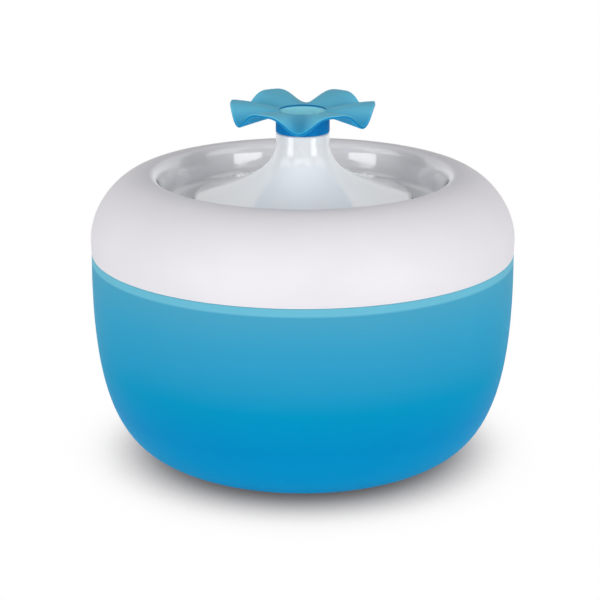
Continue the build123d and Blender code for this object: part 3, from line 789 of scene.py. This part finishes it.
def cotton_pad(material):
    low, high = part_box("cotton_pad")
    ring = bmesh.new()
    corners = [ring.verts.new((r, 0, z)) for r, z in pad_section(low, high)]
    outline = [ring.edges.new(pair) for pair in zip(corners, corners[1:] + corners[:1])]
    bmesh.ops.spin(
        ring, geom=corners + outline, cent=(0, 0, 0), axis=(0, 0, 1), angle=math.tau, steps=96,
        use_merge=True,
    )
    bmesh.ops.recalc_face_normals(ring, faces=ring.faces)
    piece = filling("cotton_wadding", ring, "cotton_pad", "filter", material)
    voxel_remesh(piece, skin_mesh)
    held = press_welds(piece, high.z - swell_room)
    swell(piece, held, pressure=60.0, most=0.9 * mm)
    smooth = piece.modifiers.new("smooth", "SUBSURF")
    smooth.levels = smooth.render_levels = 1
    apply_modifiers(piece)
    print("pad faces:", len(piece.data.polygons))


cotton_pad(polyester_wadding())

# %% [markdown]
# ## The pump's sponge
# The block behind the intake slots is open-cell foam. Its cut faces are covered with round pores
# of about a millimetre. A bump map would leave its outline smooth, so the pores are real dents: we
# bevel a block, remesh it fine enough, and push it in with a Voronoi texture, whose cells are the
# pores.

# %% Open-cell foam
def open_cell_foam():
    # Black polyurethane foam: matt, with a grey bloom on the struts between the pores.
    material, shader = new_material(
        "open-cell foam", Base_Color=linear("#232528"), Roughness=0.85, IOR=1.5,
    )
    drift(material, shader, "#34373b", 1.0 * mm)
    mould_grain(material, shader, 0.3 * mm, 0.04 * mm)
    return material


# %% Sponge
corner_radius = 2.4 * mm
pore_pitch = 1.5 * mm
pore_depth = 0.9 * mm
foam_mesh = 0.45 * mm          # fine enough to give each pore its hollow


def intake_sponge(material):
    low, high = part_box("prefilter_sponge")
    block = bmesh.new()
    sized = Matrix.Translation((low + high) / 2) @ Matrix.Diagonal((*(high - low), 1))
    bmesh.ops.create_cube(block, size=1, matrix=sized)
    long_edges = [e for e in block.edges if abs(e.verts[0].co.y - e.verts[1].co.y) > 1 * mm]
    bmesh.ops.bevel(
        block, geom=long_edges, offset=corner_radius, offset_type="OFFSET", affect="EDGES",
        segments=4, profile=0.5, material=-1,
    )
    bmesh.ops.recalc_face_normals(block, faces=block.faces)
    piece = filling("intake_sponge", block, "prefilter_sponge", "intake_cover", material)
    voxel_remesh(piece, foam_mesh)
    pores = bpy.data.textures.new("pores", "VORONOI")
    pores.noise_scale = pore_pitch
    pores.distance_metric = "DISTANCE"
    dents = piece.modifiers.new("pores", "DISPLACE")
    dents.texture = pores
    dents.texture_coords = "LOCAL"
    dents.strength = pore_depth
    dents.mid_level = 1.0      # every move is inwards, so the block keeps its size
    apply_modifiers(piece)
    print("sponge faces:", len(piece.data.polygons))


intake_sponge(open_cell_foam())

# %% [markdown]
# ## The studio
# The fountain stands on a small white table. Two bright softboxes left and right of the camera
# reach from below the table's top to well above the flower, and make the windows in the moat and on
# the neck. A wide, dimmer box hangs over the camera and lights the dome and the tops of the petals,
# and two more fill the shoulders of the ring. A softbox is an area lamp. Its strength is given as a
# radiance, how bright its own face looks, because that is what a reflection shows, and the lamp's
# power follows from that and its size.

# %% Softboxes
def softbox(name, azimuth, elevation, radiance, width, height, distance=1.2):
    """A rectangular lamp aimed at the fountain, at an azimuth measured from the front."""
    lamp = bpy.data.lights.new(name, "AREA")
    lamp.shape = "RECTANGLE"
    lamp.size = width
    lamp.size_y = height
    lamp.energy = radiance * math.pi * width * height
    stand = bpy.data.objects.new(name, lamp)
    bpy.context.collection.objects.link(stand)
    turn = math.radians(azimuth)
    lift = math.radians(elevation)
    outwards = Vector((
        math.sin(turn) * math.cos(lift), -math.cos(turn) * math.cos(lift), math.sin(lift),
    ))
    stand.location = aim + distance * outwards
    stand.rotation_euler = outwards.to_track_quat("Z", "Y").to_euler()
    print(name, "at", azimuth, "degrees, power", round(lamp.energy, 2), "W")


# Name, azimuth and elevation in degrees, radiance, width and height in metres.
softbox("window_left", -52.5, 2, 4.5, 0.53, 0.78)
softbox("window_right", 48, 2, 4.8, 0.53, 0.78)
softbox("over_camera", 0, 42, 1.85, 1.2, 0.5)
softbox("fill_left", -75, 38, 1.45, 0.7, 0.6)
softbox("fill_right", 75, 38, 1.45, 0.7, 0.6)

# %% [markdown]
# The room is the world's background. A direction's Y says how far it points to the back. A ramp
# along it gives the walls: a card in front, the sides, a dark gap past the end of each side, and
# the backdrop behind. A dim ceiling takes over higher up.

# %% The room's light
wall_light = (                 # place from the front, 0, to the back, 1, and how bright
    (0.0, 0.4), (0.12, 0.4), (0.28, 0.6), (0.43, 0.6), (0.48, 0.15), (0.7, 0.15), (0.75, 0.3),
    (1.0, 0.3),
)
ceiling_light = 0.2


def room_light(world, direction):
    """How bright the room is in each direction."""
    depth = add(world, "ShaderNodeMapRange", {"From Min": -1.0}, {"Value": direction.outputs["Y"]})
    walls = add(world, "ShaderNodeValToRGB", links={"Fac": depth.outputs["Result"]})
    stops = walls.color_ramp.elements
    for position, _ in wall_light[1:-1]:
        stops.new(position)
    for stop, (_, light) in zip(stops, wall_light):
        stop.color = (light, light, light, 1)
    high = add(
        world, "ShaderNodeMapRange", {"From Min": 0.3, "From Max": 0.6},
        {"Value": direction.outputs["Z"]}, interpolation_type="SMOOTHSTEP",
    )
    strength = add(
        world, "ShaderNodeMix", {3: ceiling_light},
        {0: high.outputs["Result"], 2: walls.outputs["Color"]}, data_type="FLOAT",
    )
    return strength.outputs[0]


# %% [markdown]
# The camera sees plain white in place of the room, and so does light that passes through clear
# plastic. A reflection sees it where it looks at the backdrop. The Light Path node tells these
# rays apart from the light that falls on the fountain.

# %% The white backdrop
def looks_white(world, direction):
    """1 for the rays that see plain white, 0 for those that see the room."""
    path = add(world, "ShaderNodeLightPath")
    behind = add(
        world, "ShaderNodeMapRange", {"From Min": 0.44, "From Max": 0.54},
        {"Value": direction.outputs["Y"]},
    )
    mirrored = add(
        world, "ShaderNodeMath",
        links={0: path.outputs["Is Glossy Ray"], 1: behind.outputs["Result"]}, operation="MULTIPLY",
    )
    through = add(
        world, "ShaderNodeMath",
        links={0: path.outputs["Is Transmission Ray"], 1: mirrored.outputs[0]}, operation="MAXIMUM",
    )
    seen = add(
        world, "ShaderNodeMath",
        links={0: path.outputs["Is Camera Ray"], 1: through.outputs[0]}, operation="MAXIMUM",
    )
    return seen.outputs[0]


# %% The world
def studio_world():
    world = bpy.data.worlds.new("studio")
    world.use_nodes = True
    bpy.context.scene.world = world
    place = add(world, "ShaderNodeTexCoord")
    direction = add(world, "ShaderNodeSeparateXYZ", links={0: place.outputs["Generated"]})
    room = world.node_tree.nodes["Background"]
    room.inputs["Color"].default_value = (1, 1, 1, 1)
    world.node_tree.links.new(room_light(world, direction), room.inputs["Strength"])
    white = add(world, "ShaderNodeBackground", {"Color": (1, 1, 1, 1), "Strength": 1.0})
    mix = add(
        world, "ShaderNodeMixShader",
        links={0: looks_white(world, direction), 1: room.outputs[0], 2: white.outputs[0]},
    )
    output = world.node_tree.nodes["World Output"]
    world.node_tree.links.new(mix.outputs[0], output.inputs["Surface"])
    print("world nodes:", len(world.node_tree.nodes))


studio_world()

# %% [markdown]
# The floor is white paper. To the light that falls on it, it is an ordinary pale surface. The
# camera, reflections and clear plastic see it as white, darkened only where the fountain closes off
# the open room above it: the Ambient Occlusion node measures exactly that, so the soft shadow under
# the bowl stays and the far paper melts into the background.

# %% White paper
shadow_reach = 0.35            # how far the Ambient Occlusion node looks for the fountain, in metres
paper_shades = (               # how open the room above is, and the shade that it gives
    (0.0, "#454649"), (0.2, "#909194"), (0.38, "#c2c2c4"), (0.5, "#e1e1e2"), (0.6, "#fafafa"),
    (0.68, "#ffffff"),
)


def white_paper():
    material, shader = new_material(
        "white paper", Base_Color=linear("#eaeaea"), Roughness=1.0, Specular_IOR_Level=0.0,
    )
    openness = add(
        material, "ShaderNodeAmbientOcclusion", {"Distance": shadow_reach}, samples=24,
    )
    shade = add(material, "ShaderNodeValToRGB", links={"Fac": openness.outputs["AO"]})
    stops = shade.color_ramp.elements
    stops[0].color = linear(paper_shades[0][1])
    stops[1].position = paper_shades[-1][0]
    stops[1].color = linear(paper_shades[-1][1])
    for position, colour in paper_shades[1:-1]:
        stops.new(position).color = linear(colour)
    look = add(material, "ShaderNodeEmission", {"Strength": 1.0}, {"Color": shade.outputs["Color"]})
    path = add(material, "ShaderNodeLightPath")
    mirrored = add(
        material, "ShaderNodeMath",
        links={0: path.outputs["Is Glossy Ray"], 1: path.outputs["Is Transmission Ray"]},
        operation="MAXIMUM",
    )
    seen = add(
        material, "ShaderNodeMath",
        links={0: path.outputs["Is Camera Ray"], 1: mirrored.outputs[0]}, operation="MAXIMUM",
    )
    mix = add(
        material, "ShaderNodeMixShader",
        links={0: seen.outputs[0], 1: shader.outputs[0], 2: look.outputs[0]},
    )
    output = material.node_tree.nodes["Material Output"]
    material.node_tree.links.new(mix.outputs[0], output.inputs["Surface"])
    return material


# %% The floor
table_radius = 0.42


def studio_floor(material):
    outline = bmesh.new()
    bmesh.ops.create_circle(outline, cap_ends=True, radius=table_radius, segments=96)
    mesh = bpy.data.meshes.new("floor")
    outline.to_mesh(mesh)
    outline.free()
    mesh.materials.append(material)
    floor = bpy.data.objects.new("floor", mesh)
    bpy.context.collection.objects.link(floor)


studio_floor(white_paper())
bpy.context.scene.view_settings.view_transform = "Standard"
print("floor", 2 * table_radius, "m across, view transform Standard")
